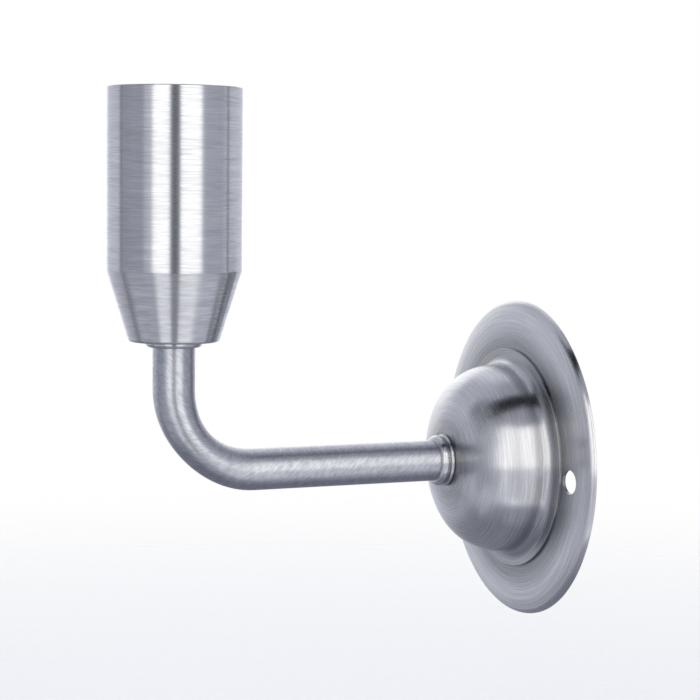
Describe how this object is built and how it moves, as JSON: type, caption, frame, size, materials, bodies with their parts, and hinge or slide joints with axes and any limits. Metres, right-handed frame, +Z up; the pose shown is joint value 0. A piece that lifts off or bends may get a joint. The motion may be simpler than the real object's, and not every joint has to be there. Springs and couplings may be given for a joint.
{
  "type": "wall bracket",
  "caption": "Wall bracket in brushed steel: round plate and dome on the wall, bent tube arm, and an upright turned socket for the end of a pole.",
  "frame": {"origin": "on the wall, at the centre of the wall plate's back face", "axes": "+Y into the wall, +Z up along the pole socket's axis, so the arm runs out along -Y"},
  "size_m": [0.095, 0.1293, 0.156],
  "materials": {
    "brushed_steel": "brushed stainless steel"
  },
  "bodies": {
    "root": {"pole_socket": "brushed_steel", "socket_seat_ring": "brushed_steel", "socket_stud": "brushed_steel", "socket_washer": "brushed_steel", "socket_nut": "brushed_steel", "arm_tube": "brushed_steel", "arm_collar": "brushed_steel", "dome_cover": "brushed_steel", "dome_stud": "brushed_steel", "dome_washer": "brushed_steel", "dome_nut": "brushed_steel", "wall_plate": "brushed_steel"}
  },
  "joints": []
}
